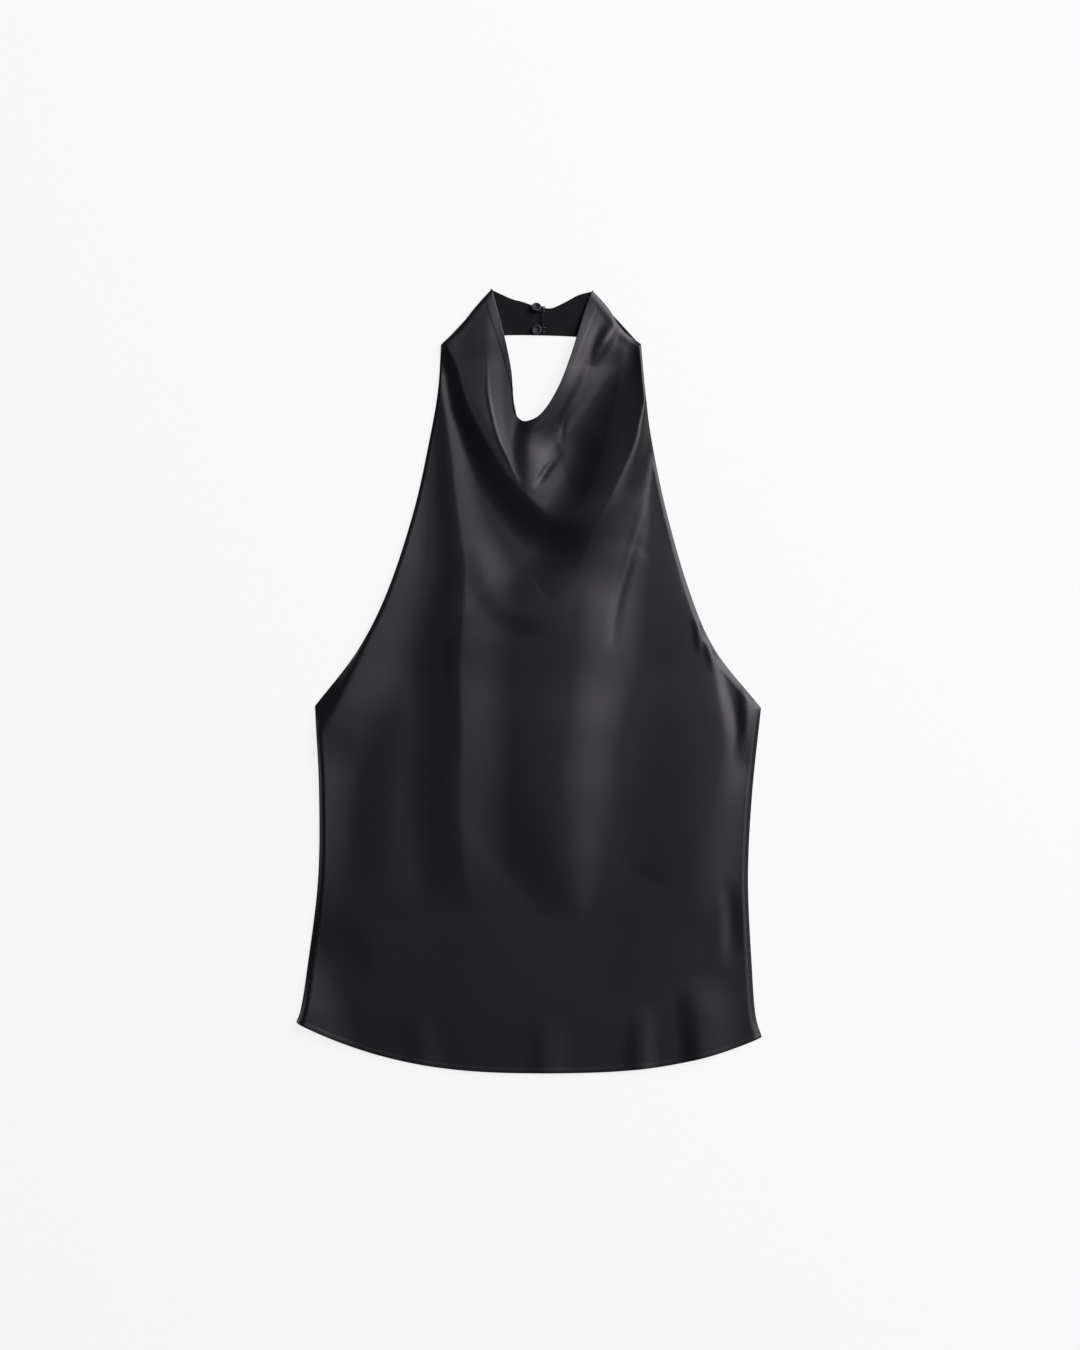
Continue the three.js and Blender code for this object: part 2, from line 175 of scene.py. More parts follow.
# The front is one piece of satin cut on the bias, so that it drapes in a cowl below the neck. Its top edge
# is folded over at the sides of the neck, and its other edges have narrow turned hems.
# Rows across it, from the neckline to the hem, in millimetres: the two edges, the lowest point of the dip
# between them, and how full the dip is on each side, from 1 for a V to 2 for a parabola.
ROWS = [
    dict(left=(-33.3, 352.8), low=(-4.5, 233.6), right=(56.7, 351.4), full=(1.5, 1.6)),
    dict(left=(-47.7, 336.9), low=(0.9, 216.9), right=(70.7, 336.2), full=(1.5, 1.5)),
    dict(left=(-62.1, 319.1), low=(7.2, 191.7), right=(83.7, 316.8), full=(1.5, 1.3)),
    dict(left=(-79.2, 302.4), low=(11.7, 158.4), right=(100.8, 302.9), full=(1.5, 1.2)),
    dict(left=(-81.9, 261.9), low=(12.6, 108.9), right=(104.4, 261.9), full=(1.6, 1.5)),
    dict(left=(-89.1, 219.6), low=(12.6, 63.9), right=(109.8, 219.6), full=(1.8, 1.7)),
    dict(left=(-103.5, 153.9), low=(9.9, 9.9), right=(123.3, 153.9), full=(1.9, 1.9)),
    dict(left=(-126.9, 81.9), low=(7.2, -44.1), right=(144.0, 81.9), full=(2.0, 2.0)),
    dict(left=(-153.9, 27.9), low=(7.2, -84.6), right=(167.4, 27.9), full=(2.0, 2.0)),
    dict(left=(-192.6, -22.5), low=(7.2, -120.6), right=(208.8, -24.3), full=(2.0, 2.0)),
    dict(left=(-189.0, -98.1), low=(7.2, -179.1), right=(200.7, -102.6), full=(2.0, 2.0)),
    dict(left=(-189.9, -179.1), low=(7.2, -242.1), right=(197.1, -179.1), full=(2.1, 2.1)),
    dict(left=(-199.8, -260.1), low=(7.2, -305.1), right=(200.7, -260.1), full=(2.3, 2.3)),
    dict(left=(-205.2, -294.3), low=(8.0, -336.0), right=(203.8, -300.1), full=(2.5, 2.6)),
    dict(left=(-209.6, -307.3), low=(9.9, -352.9), right=(209.6, -320.4), full=(2.5, 2.8)),
]
NECK_FOLD_ROW = 3
UNDERARM_ROW = 9
HEM_ROW = 14
NECKLINE = [
    (-33.3, 352.8), (-22.2, 310.9), (-15.7, 278.1), (-12.8, 242.1), (-4.5, 233.6), (9.9, 239.4),
    (25.2, 261.9), (37.4, 292.5), (48.6, 329.4), (56.7, 351.4),
]
NECKLINE_LOW = 4

# Each fold's crest runs up the cloth, or from left to right, in millimetres. Down its length come its
# heights and its half widths to the left and right of it. Below nought it is a crease pressed in. Each
# side's shape is 0 where it is round, 1 where it falls away sharply from the crest, and -1 where it is
# full, with a sharp foot. A shape is one number, or several down the crest.
FOLDS = [
    dict(
        name="left long fold",
        crest=[
            (-54, -205), (-58, -165), (-62, -125), (-62, -80), (-61, -40), (-62, -10), (-62, 16),
            (-60, 46), (-58, 76), (-58, 106), (-62, 136), (-66, 166), (-69, 196), (-73, 225), (-78, 255),
            (-80, 272),
        ],
        height=(0, 2.1, 3.6, 4.5, 4.6, 4.4, 4.0, 3.1, 2.0, 1.6, 1.2, 0.9),
        left=(44, 50, 52, 52, 50, 46, 40, 30, 24, 20, 14, 8),
        right=(36, 42, 46, 47, 46, 46, 50, 44, 28, 20, 14, 9),
        shape=(0.2, 0.5),
    ),
    dict(
        name="right long fold",
        crest=[
            (45, -216), (38, -191), (32, -161), (28, -116), (28, -80), (34, -38), (38, 8), (41, 35),
            (41, 60), (41, 80), (44, 97), (48, 110), (53, 123), (58, 136), (66, 150), (73, 163), (79, 177),
            (85, 190), (91, 204), (96, 218), (99, 232), (102, 245), (105, 258), (108, 272), (111, 292),
        ],
        height=(0, 2.0, 3.4, 4.4, 4.9, 5.2, 5.8, 6.2, 6.6, 9.8, 12.4, 12.2, 9.6, 6.6),
        left=(30, 50, 75, 90, 100, 110, 116, 100, 46, 50, 50, 58, 44, 24),
        right=(10, 34, 46, 54, 52, 54, 62, 66, 64, 54, 34, 20, 10, 6),
        shape=((0.0, 0.0, -0.1, -0.1, -0.2, -0.4, -0.6, -0.4, 0.2, 0.4, 0.5, 0.5, 0.5, 0.5), 0.0),
    ),
    dict(
        name="right long crease",
        crest=[
            (73, 28), (75, 41), (77, 55), (79, 68), (82, 82), (86, 95), (90, 109), (94, 124), (99, 142),
            (104, 160),
        ],
        height=(0, -0.5, -0.8, -0.9, -0.8, -0.6, -0.2),
        left=(9, 8, 7),
        right=(9, 8, 7),
        shape=(0.2, 0.2),
    ),
    dict(
        name="second drape",
        crest=[
            (-46, 127), (-40, 96), (-30, 76), (-16, 65), (0, 59), (14, 59), (26, 65), (34, 78), (42, 95),
        ],
        height=(0, 0.5, 0.8, 0.9, 1.0, 0.9, 0.6, 0.3, 0),
        left=(24, 30, 36, 38, 38, 36, 30, 24),
        right=(14, 18, 20, 22, 22, 20, 14, 12),
        shape=(0.0, 0.2),
    ),
    dict(
        name="left armhole fold",
        crest=[
            (-200, -216), (-200, -180), (-200, -140), (-200, -100), (-198, -68), (-190, -48), (-179, -32),
            (-165, -5), (-153, 20), (-138, 58), (-121, 100), (-108, 142), (-100, 170),
        ],
        height=(0.4, 2.8, 4.2, 5.0, 5.2, 5.2, 4.8, 4.2, 3.4, 2.6, 1.6, 0.4),
        left=(8, 8, 8, 9, 10, 10, 10, 8, 8, 8, 8, 8),
        right=(26, 36, 42, 46, 50, 52, 50, 44, 36, 30, 20, 12),
        shape=(0.2, 0.5),
    ),
    dict(
        name="left middle fold",
        crest=[(-128, -210), (-127, -170), (-124, -125), (-118, -80), (-113, -35), (-108, 10)],
        height=(0, 0.8, 1.0, 1.0, 0.8, 0),
        left=(36, 40, 36),
        right=(34, 38, 30),
        shape=(0.0, 0.0),
    ),
    dict(
        name="right side fold",
        crest=[
            (76, -281), (91, -263), (112, -237), (128, -212), (144, -191), (151, -161), (157, -131),
            (166, -101), (172, -71), (174, -50), (172, -30), (169, -8), (166, 12), (158, 33), (148, 56),
            (137, 82), (127, 108), (119, 135),
        ],
        height=(0, 0.8, 1.5, 2.2, 2.9, 3.3, 3.4, 3.1, 2.6, 2.1, 1.5, 0.9, 0.3, 0),
        left=(40, 50, 60, 66, 72, 78, 82, 84, 84, 80, 70, 56, 40, 26),
        right=(34, 40, 44, 46, 44, 42, 36, 26, 15, 9, 8, 8, 8, 8),
        shape=(0.0, 0.0),
    ),
    dict(
        name="right seam hollow",
        crest=[(178, -178), (181, -205), (182, -232), (180, -258)],
        height=(0, -1.0, -1.0, 0),
        left=(12, 14),
        right=(10, 12),
        shape=(0.0, 0.0),
    ),
    dict(
        name="underarm tuck",
        crest=[(192, -74), (194, -52), (195, -30), (194, -8)],
        height=(0, 2.0, 2.6, 1.0),
        left=(10, 10, 9),
        right=(12, 12, 10),
        shape=(0.2, 0.0),
    ),
    dict(
        name="upper armhole pucker",
        crest=[(154, 24), (153, 36), (151, 52)],
        height=(0, 1.1, 1.0),
        left=(4, 5),
        right=(4, 5),
        shape=(0.3, 0.3),
    ),
    dict(
        name="lower armhole pucker",
        crest=[(166, 10), (164, 20), (161, 34)],
        height=(0, 1.2, 1.0),
        left=(3.5, 4.5),
        right=(4, 4.5),
        shape=(0.3, 0.3),
    ),
    dict(
        name="left hem hollow",
        crest=[(-188, -243), (-168, -247), (-142, -240)],
        height=(-0.7, -0.9, 0),
        left=(40, 44, 36),
        right=(34, 38, 30),
        shape=(0.0, 0.0),
    ),
    dict(
        name="left hem corner",
        crest=[(-224, -262), (-220, -300), (-210, -334)],
        height=(2.4, 4.9, 4.6),
        left=(48, 60, 58),
        right=(20, 20, 20),
        shape=(0.0, 0.0),
    ),
    dict(
        name="right hem swell",
        crest=[(154, -352), (153, -318), (151, -292), (146, -268)],
        height=(2.8, 2.6, 1.8, 0),
        left=(20, 20, 22, 20),
        right=(36, 40, 40, 30),
        shape=(0.2, 0.0),
    ),
    dict(
        name="hem ripple right",
        crest=[(101, -354), (101, -325), (104, -292)],
        height=(1.5, 1.1, 0),
        left=(18, 16),
        right=(18, 16),
        shape=(0.0, 0.0),
    ),
    dict(
        name="hem ripple middle",
        crest=[(15, -358), (16, -332), (20, -300)],
        height=(1.2, 0.8, 0),
        left=(20, 18),
        right=(26, 22),
        shape=(0.0, 0.0),
    ),
    dict(
        name="hem ripple left",
        crest=[(-96, -346), (-98, -322), (-104, -296)],
        height=(0.7, 0.5, 0),
        left=(20, 18),
        right=(22, 20),
        shape=(0.0, 0.0),
    ),
]

# The collar is the cowl's first roll. It stands off the rest of the front, has its own folds, and ends in
# a soft edge whose flank falls away to the cloth below it.
COWL_EDGE = [
    (-75.6, 303.5), (-70, 293), (-64.4, 280), (-60, 264), (-54, 246), (-45, 228), (-35, 210), (-24, 192),
    (-10.4, 175), (3.2, 162), (14.4, 152), (24, 147), (35, 148), (46, 157), (55, 174), (64, 200),
    (73, 232), (79, 262), (84, 294),
]
COWL_FLANK = (8, 14, 19, 25, 31, 36, 38, 32, 26, 20, 14)
COWL_FLANK_SHAPE = 0.4
COLLAR_SECTIONS = [
    dict(y=128, left=-6, left_height=5.6, right=50, right_height=4.6),
    dict(y=146, left=4, left_height=6.6, right=50, right_height=5.0),
    dict(y=156, left=6, left_height=6.6, right=46, right_height=5.0),
    dict(y=165, left=0, left_height=6.4, right=40, right_height=4.6),
    dict(y=178, left=-6, left_height=6.2, right=36, right_height=3.8),
    dict(y=195, left=-14, left_height=6.0, right=30, right_height=3.0),
    dict(y=221, left=-30, left_height=6.2, right=24, right_height=1.7),
    dict(y=246, left=-46, left_height=5.6, right=46, right_height=1.4),
    dict(y=271, left=-56, left_height=4.4, right=65, right_height=1.3),
    dict(y=300, left=-68, left_height=3.4, right=80, right_height=0.9),
    dict(y=325, left=-60, left_height=2.8, right=80, right_height=0.7),
    dict(y=352, left=-36, left_height=2.2, right=62, right_height=0.7),
]
COLLAR_FOLDS = [
    dict(
        name="collar crease",
        crest=[
            (-10, 179), (-18, 197), (-27, 217), (-33, 239), (-36, 255), (-37, 266), (-37.5, 293),
            (-37, 316), (-36.5, 346),
        ],
        height=(0.3, 0.4, 0.5, 0.7, 0.8, 0.9, 0.9, 0.9),
        left=(12, 18, 24, 28, 30, 30, 30, 30),
        right=(5, 7, 10, 14, 16, 16, 16, 14),
        shape=(0.0, 0.3),
    ),
    dict(
        name="collar crease line",
        crest=[(-10, 179), (-18, 197), (-27, 217), (-33, 239), (-36, 255), (-37, 266), (-37.5, 293)],
        height=(0.1, 0.25, 0.32, 0.35, 0.2, 0),
        left=(3, 3, 3),
        right=(2.5, 2.5, 3),
        shape=(0.3, 0.6),
    ),
    dict(
        name="right collar roll",
        crest=[
            (-1, 168), (0, 182), (0, 200), (1, 214), (5, 227), (12, 240), (24, 261), (36, 290), (47, 326),
            (56, 352),
        ],
        height=(0.2, 1.2, 2.8, 4.6, 6.0, 6.8, 5.8, 3.2, 1.2, 0.4),
        left=(10, 16, 20, 16, 14, 12),
        right=(14, 18, 23, 29, 33, 36, 40, 44, 44, 36),
        shape=(0.0, 0.0),
    ),
    dict(
        name="right collar crease",
        crest=[
            (29, 218), (30, 231), (35, 245), (42, 258), (49, 272), (54, 286), (58, 300), (64, 312),
            (72, 322),
        ],
        height=(-0.2, -0.8, -0.6, -0.45, -0.5, -0.6, -0.6, -0.4),
        left=(5, 6, 7, 8),
        right=(5, 6, 7, 8),
        shape=(0.2, 0.2),
    ),
    dict(
        name="shoulder pleat",
        crest=[(57, 283), (64, 298), (72, 312), (79, 325)],
        height=(0, 1.7, 2.6, 1.2),
        left=(12, 13, 13, 12),
        right=(9, 10, 10, 8),
        shape=(0.0, 0.0),
    ),
    dict(
        name="cowl tip crease",
        crest=[(6, 176), (11, 183), (16, 190), (24, 200), (30, 208)],
        height=(-0.2, -0.9, -0.8, -0.4, 0),
        left=(4, 5, 6),
        right=(5, 6, 6),
        shape=(0.0, 0.0),
    ),
]

# The front's loft off what it lies on, down its middle, and how soon it comes in at its side edges. It lies
# on the floor, the back panel and the strap, and climbs on to each over a short way. All in millimetres.
LOFT = dict(y=(-353, -300, -200, -100, 0, 100, 200, 352), height=(1.2, 2.0, 2.6, 2.4, 1.8, 1.2, 0.9, 0.9))
LOFT_RUN = dict(place=(0, 3, 8, 9.5, 14), run=(5, 4, 3.5, 4, 5))
REST_ON_FLOOR = 1.3
REST_ON_LAYER = 2.45
CLIMB_ON_BACK = 60
CLIMB_ON_STRAP = 24
BACK_DIP = 24
STRAP_BOTTOM = [
    (-78, 302.9), (-50, 308.4), (-22, 310.9), (10, 310.9), (41.8, 309.6), (70, 306.5), (99.4, 303.2),
]

# Along the side seams, which start just above the underarms, the front comes down to the back.
SEAM_START = 0.15
SEAM_RUN = 6
SEAM_DROP = 0.4

# The hems turned in at the edges: their width, the radius of the turn, and how sharply they show through.
# Down the side edges they change from row to row. The face draws in by its turn's radius, over a few radii.
SIDE_TURN = dict(
    place=(0, 0.5, 2.6, 3, 3.4, 8.6, 9, 9.4, 13.6, 14),
    width=(1.0, 8, 8, 2.5, 4, 4, 2.5, 6, 6, 1.5),
    radius=(0.5, 1.0, 1.0, 0.8, 0.5, 0.5, 0.5, 0.55, 0.55, 0.5),
    ridge=0.9,
)
NECK_TURN = dict(across=(0, 0.08, 0.92, 1), width=(1.0, 11, 11, 1.0), radius=0.5, ridge=2)
HEM_TURN = dict(across=(0, 0.02, 0.98, 1), width=(1.5, 4, 4, 1.5), radius=0.5, ridge=0.9)
TURN_RIDGE = 0.15
TURN_STEPS = (0.2, 0.4, 0.6, 0.8, 1.0)
TURN_ANGLES = np.radians([30, 60, 90, 120, 150, 180])
PULL_REACH = 4
PULL_SLACK = 0.01

# The cloth's thickness, how near its points are joined, and how finely it and its fold lines are divided.
CLOTH = 0.35
WELD = 0.002
COLUMNS = 172
ROWS_COLLAR = 56
ROWS_BIB = 112
ROWS_BODY = 66
LINE_STEPS = 200

# A fold is worked out a little past its widest. FULL_POWER rounds a full side, and TINY guards a division.
FOLD_MARGIN = 1.2
FULL_POWER = 2.4
TINY = 1e-9


def curve(keys, values, at):
    """A smooth curve through values at rising keys, with its slopes taken from the neighbours."""
    keys = np.asarray(keys, float)
    values = np.asarray(values, float)
    at = np.asarray(at, float)
    last = len(keys) - 1
    before = np.maximum(np.arange(last + 1) - 1, 0)
    after = np.minimum(np.arange(last + 1) + 1, last)
    slopes = (values[after] - values[before]) / (keys[after] - keys[before])
    i = np.clip(np.searchsorted(keys, at, side="right") - 1, 0, last - 1)
    span = keys[i + 1] - keys[i]
    t = (at - keys[i]) / span
    rise = values[i + 1] - values[i]
    a = slopes[i] * span - rise
    b = rise - slopes[i + 1] * span
    return values[i] + t * rise + t * (1 - t) * ((1 - t) * a + t * b)


def along(values, at):
    """A smooth curve through values spaced evenly from 0 to 1."""
    return curve(np.linspace(0, 1, len(values)), values, at)


def length_keys(points):
    """How far along a line each of its points is, from 0 to 1."""
    steps = np.hypot(*np.diff(np.asarray(points, float), axis=0).T)
    keys = np.concatenate([[0], np.cumsum(steps)])
    return keys / keys[-1]


def smooth_line(points, count):
    """Points spaced along a smooth line through a few."""
    keys = length_keys(points)
    at = np.linspace(0, 1, count)
    return np.stack([curve(keys, [p[axis] for p in points], at) for axis in (0, 1)], axis=1)


def line_at(points, x):
    """Where a line that runs from left to right is at each x. It runs on level past its ends."""
    keys = [p[0] for p in points]
    return curve(keys, [p[1] for p in points], np.clip(x, keys[0], keys[-1]))


def smooth(t):
    """A soft step from 0 to 1."""
    t = np.clip(t, 0, 1)
    return t * t * (3 - 2 * t)


def nearest(line, x, y):
    """How far points are from a line, how far along it they are, and on which side.
    The side is 1 to the left of it and -1 to the right, and less beyond an end."""
    best = np.full(x.shape, np.inf)
    place = np.zeros(x.shape)
    side = np.zeros(x.shape)
    count = len(line) - 1
    for i in range(count):
        step = line[i + 1] - line[i]
        length = math.hypot(*step)
        across = (x - line[i][0], y - line[i][1])
        t = np.clip((across[0] * step[0] + across[1] * step[1]) / length**2, 0, 1)
        off = (across[0] - t * step[0], across[1] - t * step[1])
        distance = np.hypot(*off)
        closer = distance < best
        best = np.where(closer, distance, best)
        place = np.where(closer, (i + t) / count, place)
        lean = (step[0] * off[1] - step[1] * off[0]) / (length * np.maximum(distance, TINY))
        side = np.where(closer, lean, side)
    beside = (place > 0) & (place < 1)
    return best, place, np.where(beside, np.sign(side), side)


def side_shape(s, shape):
    """The fall of one side of a fold, from 1 at its crest to 0 at its foot."""
    rounded = (1 + np.cos(np.pi * s)) / 2
    other = np.where(shape > 0, (1 - s) ** 2, 1 - s**FULL_POWER)
    return rounded * (1 - abs(shape)) + other * abs(shape)


def fold_side(fold, name, shape, distance, place):
    """How much of a fold's height is left on one of its sides."""
    shape = along(shape, place) if isinstance(shape, tuple) else shape
    return side_shape(np.clip(distance / along(fold[name], place), 0, 1), shape)


def fold_height(fold, x, y):
    """The height that one fold adds, worked out only for the points within its reach."""
    line = smooth_line(fold["crest"], LINE_STEPS)
    reach = FOLD_MARGIN * max(fold["left"] + fold["right"])
    low, high = line.min(axis=0) - reach, line.max(axis=0) + reach
    near = (x > low[0]) & (x < high[0]) & (y > low[1]) & (y < high[1])
    distance, place, side = nearest(line, x[near], y[near])
    on_left = (side + 1) / 2
    left = fold_side(fold, "left", fold["shape"][0], distance, place)
    right = fold_side(fold, "right", fold["shape"][1], distance, place)
    height = np.zeros(x.shape)
    height[near] = along(fold["height"], place) * (left * on_left + right * (1 - on_left))
    return height


def collar_height(x, y):
    """The collar's own height, and the fall of its flank outside its edge."""
    distance, place, side = nearest(smooth_line(COWL_EDGE, LINE_STEPS), x, y)
    keys = [section["y"] for section in COLLAR_SECTIONS]
    at = np.clip(y, keys[0], keys[-1])
    level = {}
    for name in ("left", "left_height", "right", "right_height"):
        level[name] = curve(keys, [section[name] for section in COLLAR_SECTIONS], at)
    t = np.clip((x - level["left"]) / np.maximum(level["right"] - level["left"], 1), 0, 1)
    t = (smooth(t) + t) / 2
    height = level["left_height"] + (level["right_height"] - level["left_height"]) * t
    for fold in COLLAR_FOLDS:
        height = height + fold_height(fold, x, y)
    flank = side_shape(np.clip(distance / along(COWL_FLANK, place), 0, 1), COWL_FLANK_SHAPE)
    inside = (side + 1) / 2
    return np.maximum(height, 0) * (inside + (1 - inside) * flank)


def back_top(x):
    """The back's top edge in plan, which dips between the underarms."""
    left, right = ROWS[UNDERARM_ROW]["left"], ROWS[UNDERARM_ROW]["right"]
    t = np.clip((x - left[0]) / (right[0] - left[0]), 0, 1)
    return left[1] + (right[1] - left[1]) * t - BACK_DIP * 4 * t * (1 - t)


def row_at(place):
    """The row at each place down the front, between those of the table. It bends only at the two corners."""
    corners = (0, NECK_FOLD_ROW, UNDERARM_ROW, HEM_ROW)
    found = {}
    for name in ("left", "low", "right", "full"):
        parts = []
        for first, last in zip(corners, corners[1:]):
            keys = np.arange(first, last + 1)
            stretch = [[ROWS[k][name][axis] for k in keys] for axis in (0, 1)]
            parts.append(np.stack([curve(keys, values, place) for values in stretch], axis=-1))
        upper = np.where((place <= NECK_FOLD_ROW)[..., None], parts[0], parts[1])
        found[name] = np.where((place <= UNDERARM_ROW)[..., None], upper, parts[2])
    return found


def on_row(row, across):
    """Points on rows, from 0 at the left edge through 0.5 at the lowest point to 1 at the right edge."""
    left = across <= 0.5
    edge = np.where(left[..., None], row["left"], row["right"])
    t = np.where(left, across * 2, (1 - across) * 2)
    full = np.where(left, row["full"][..., 0], row["full"][..., 1])
    x = edge[..., 0] + (row["low"][..., 0] - edge[..., 0]) * t
    y = edge[..., 1] + (row["low"][..., 1] - edge[..., 1]) * (1 - (1 - t) ** full)
    return x, y


def front_plan(place, across):
    """Where the front's cloth lies in plan, in millimetres, by its place down the rows and across them."""
    place, across = np.broadcast_arrays(np.asarray(place, float), np.asarray(across, float))
    x, y = on_row(row_at(place), across)
    share = np.clip(1 - place / NECK_FOLD_ROW, 0, 1) ** 2
    plain = on_row(row_at(np.zeros(place.shape)), across)
    keys = length_keys(NECKLINE)
    middle = keys[NECKLINE_LOW]
    keys = np.where(keys <= middle, 0.5 * keys / middle, 0.5 + 0.5 * (keys - middle) / (1 - middle))
    shaped = [curve(keys, [p[axis] for p in NECKLINE], across) for axis in (0, 1)]
    return np.stack([x + share * (shaped[0] - plain[0]), y + share * (shaped[1] - plain[1])], axis=-1)


def turn_step(width, inward, run):
    """How far the turning of a hem shows through: 1 over it, and 0 further in."""
    return smooth((width - inward) / run + 0.5)


def front_height(x, y, place, side, neck, hem, turned):
    """The height of the front's outer face. Side, neck and hem are how far in from those edges it is."""
    on_back = smooth((back_top(x) + CLIMB_ON_BACK - y) / CLIMB_ON_BACK)
    on_strap = smooth((y - line_at(STRAP_BOTTOM, x) + CLIMB_ON_STRAP) / CLIMB_ON_STRAP)
    rest = REST_ON_FLOOR + (REST_ON_LAYER - REST_ON_FLOOR) * np.maximum(on_back, on_strap)
    run = np.interp(place, LOFT_RUN["place"], LOFT_RUN["run"])
    lift = np.interp(y, LOFT["y"], LOFT["height"])
    lift = lift * (1 - (1 - np.clip(side / run, 0, 1)) ** 2)
    for fold in FOLDS:
        lift = lift + fold_height(fold, x, y)
    lift = np.maximum(lift + collar_height(x, y), 0)
    seam = smooth(place - UNDERARM_ROW + SEAM_START) * (1 - np.clip(side / SEAM_RUN, 0, 1)) ** 2
    ridge = turn_step(turned, side, SIDE_TURN["ridge"])
    ridge = np.maximum(ridge, turn_step(HEM_TURN["width"][1], hem, HEM_TURN["ridge"]))
    ridge = np.maximum(ridge, turn_step(NECK_TURN["width"][1], neck, NECK_TURN["ridge"]))
    return rest - SEAM_DROP * seam + lift * (1 - seam) + TURN_RIDGE * ridge


def unit(vectors):
    """The same directions at a length of 1."""
    return vectors / np.maximum(np.linalg.norm(vectors, axis=-1, keepdims=True), TINY)


def outward(edge, inner):
    """Unit directions in plan from an edge, away from the points inside it."""
    along_edge = np.gradient(edge, axis=0)
    turn = unit(np.stack([along_edge[:, 1], -along_edge[:, 0]], axis=-1))
    return turn * np.sign(np.sum(turn * (edge - inner)))


def turned_edge(edge, out, radius, width, height_at, up=-1):
    """The hem turned in at an edge: it curls round and runs back in, on the side that up says."""
    radius = np.broadcast_to(radius, len(edge))[:, None]
    width = np.broadcast_to(width, len(edge))[:, None]
    strip = [edge]
    for angle in TURN_ANGLES:
        plan = edge[:, :2] + out * radius * math.sin(angle)
        drop = radius[:, 0] * (1 - math.cos(angle))
        strip.append(np.column_stack([plan, edge[:, 2] + up * drop]))
    for step in TURN_STEPS:
        inward = radius + width * step
        plan = edge[:, :2] - out * width * step
        strip.append(np.column_stack([plan, height_at(plan, inward[:, 0]) + up * 2 * radius[:, 0]]))
    return np.stack(strip)


def grid_faces(index):
    """The faces between the rows of a grid of point numbers, as lists of four."""
    corners = (index[:-1, :-1], index[1:, :-1], index[1:, 1:], index[:-1, 1:])
    return np.stack(corners, axis=-1).reshape(-1, 4).tolist()


def make_piece(name, points, faces, finish, weld=0, facing=None):
    """A piece from points in millimetres. Points within weld of each other are joined, and facing is the
    number of a face and its way up."""
    mesh = bpy.data.meshes.new(name)
    mesh.from_pydata((np.reshape(points, (-1, 3)) * MM).tolist(), [], faces)
    work = bmesh.new()
    work.from_mesh(mesh)
    if weld:
        bmesh.ops.remove_doubles(work, verts=work.verts, dist=weld * MM)
    bmesh.ops.recalc_face_normals(work, faces=work.faces)
    work.faces.ensure_lookup_table()
    if facing and work.faces[facing[0]].normal.z * facing[1] < 0:
        bmesh.ops.reverse_faces(work, faces=work.faces)
    work.to_mesh(mesh)
    work.free()
    mesh.shade_smooth()
    mesh.materials.append(finish)
    piece = bpy.data.objects.new(name, mesh)
    bpy.context.collection.objects.link(piece)
    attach(piece, "root")
    return piece


def cloth(name, patches, way_up, finish):
    """A thin closed shell of cloth from grids of points that share edges. The first faces up or down."""
    faces = []
    count = 0
    for patch in patches:
        rows, columns = patch.shape[:2]
        faces += grid_faces(np.arange(rows * columns).reshape(rows, columns) + count)
        count += rows * columns
    points = np.concatenate([patch.reshape(-1, 3) for patch in patches])
    middle = (patches[0].shape[0] - 1) * (patches[0].shape[1] - 1) // 2
    piece = make_piece(name, points, faces, finish, WELD, (middle, way_up))
    thick = piece.modifiers.new("thickness", "SOLIDIFY")
    thick.thickness = CLOTH * MM
    thick.offset = -1
    return piece


SATIN_FACE = dict(base=(0.0030, 0.0027, 0.0042, 1), roughness=0.42)
CLOUD = {"Scale": 9.0, "Detail": 2.0}
CLOUD_ROUGHNESS = 0.06
YARN = {"Scale": 1.0, "Detail": 1.0}
YARN_LIE = {"Rotation": (0, 0, 0.785), "Scale": (900, 140, 900)}
YARN_ROUGHNESS = 0.04
YARN_BUMP = {"Strength": 0.05, "Distance": 0.0001}


def satin(name, base, roughness, specular=0.5):
    """Smooth satin: near black and softly shiny, with the slight unevenness of its long floating yarns."""
    finish = bpy.data.materials.new(name)
    finish.use_nodes = True
    shading = Shading(finish.node_tree)
    place = shading.add("ShaderNodeTexCoord", {}, {}, "Object")
    cloud = shading.add("ShaderNodeTexNoise", {}, {"Vector": place, **CLOUD}, "Fac")
    yarns = shading.add("ShaderNodeMapping", {}, {"Vector": place, **YARN_LIE})
    yarn = shading.add("ShaderNodeTexNoise", {}, {"Vector": yarns, **YARN}, "Fac")
    mean = (CLOUD_ROUGHNESS + YARN_ROUGHNESS) / 2
    rough = cloud * CLOUD_ROUGHNESS + yarn * YARN_ROUGHNESS + (roughness - mean)
    bump = shading.add("ShaderNodeBump", {}, {**YARN_BUMP, "Height": yarn})
    surface = shading.add(
        "ShaderNodeBsdfPrincipled",
        {},
        {"Base Color": base, "Roughness": rough, "Normal": bump, "Specular IOR Level": specular},
    )
    shading.add("ShaderNodeOutputMaterial", {}, {"Surface": surface})
    return finish


satin_face = satin("satin_face", **SATIN_FACE)


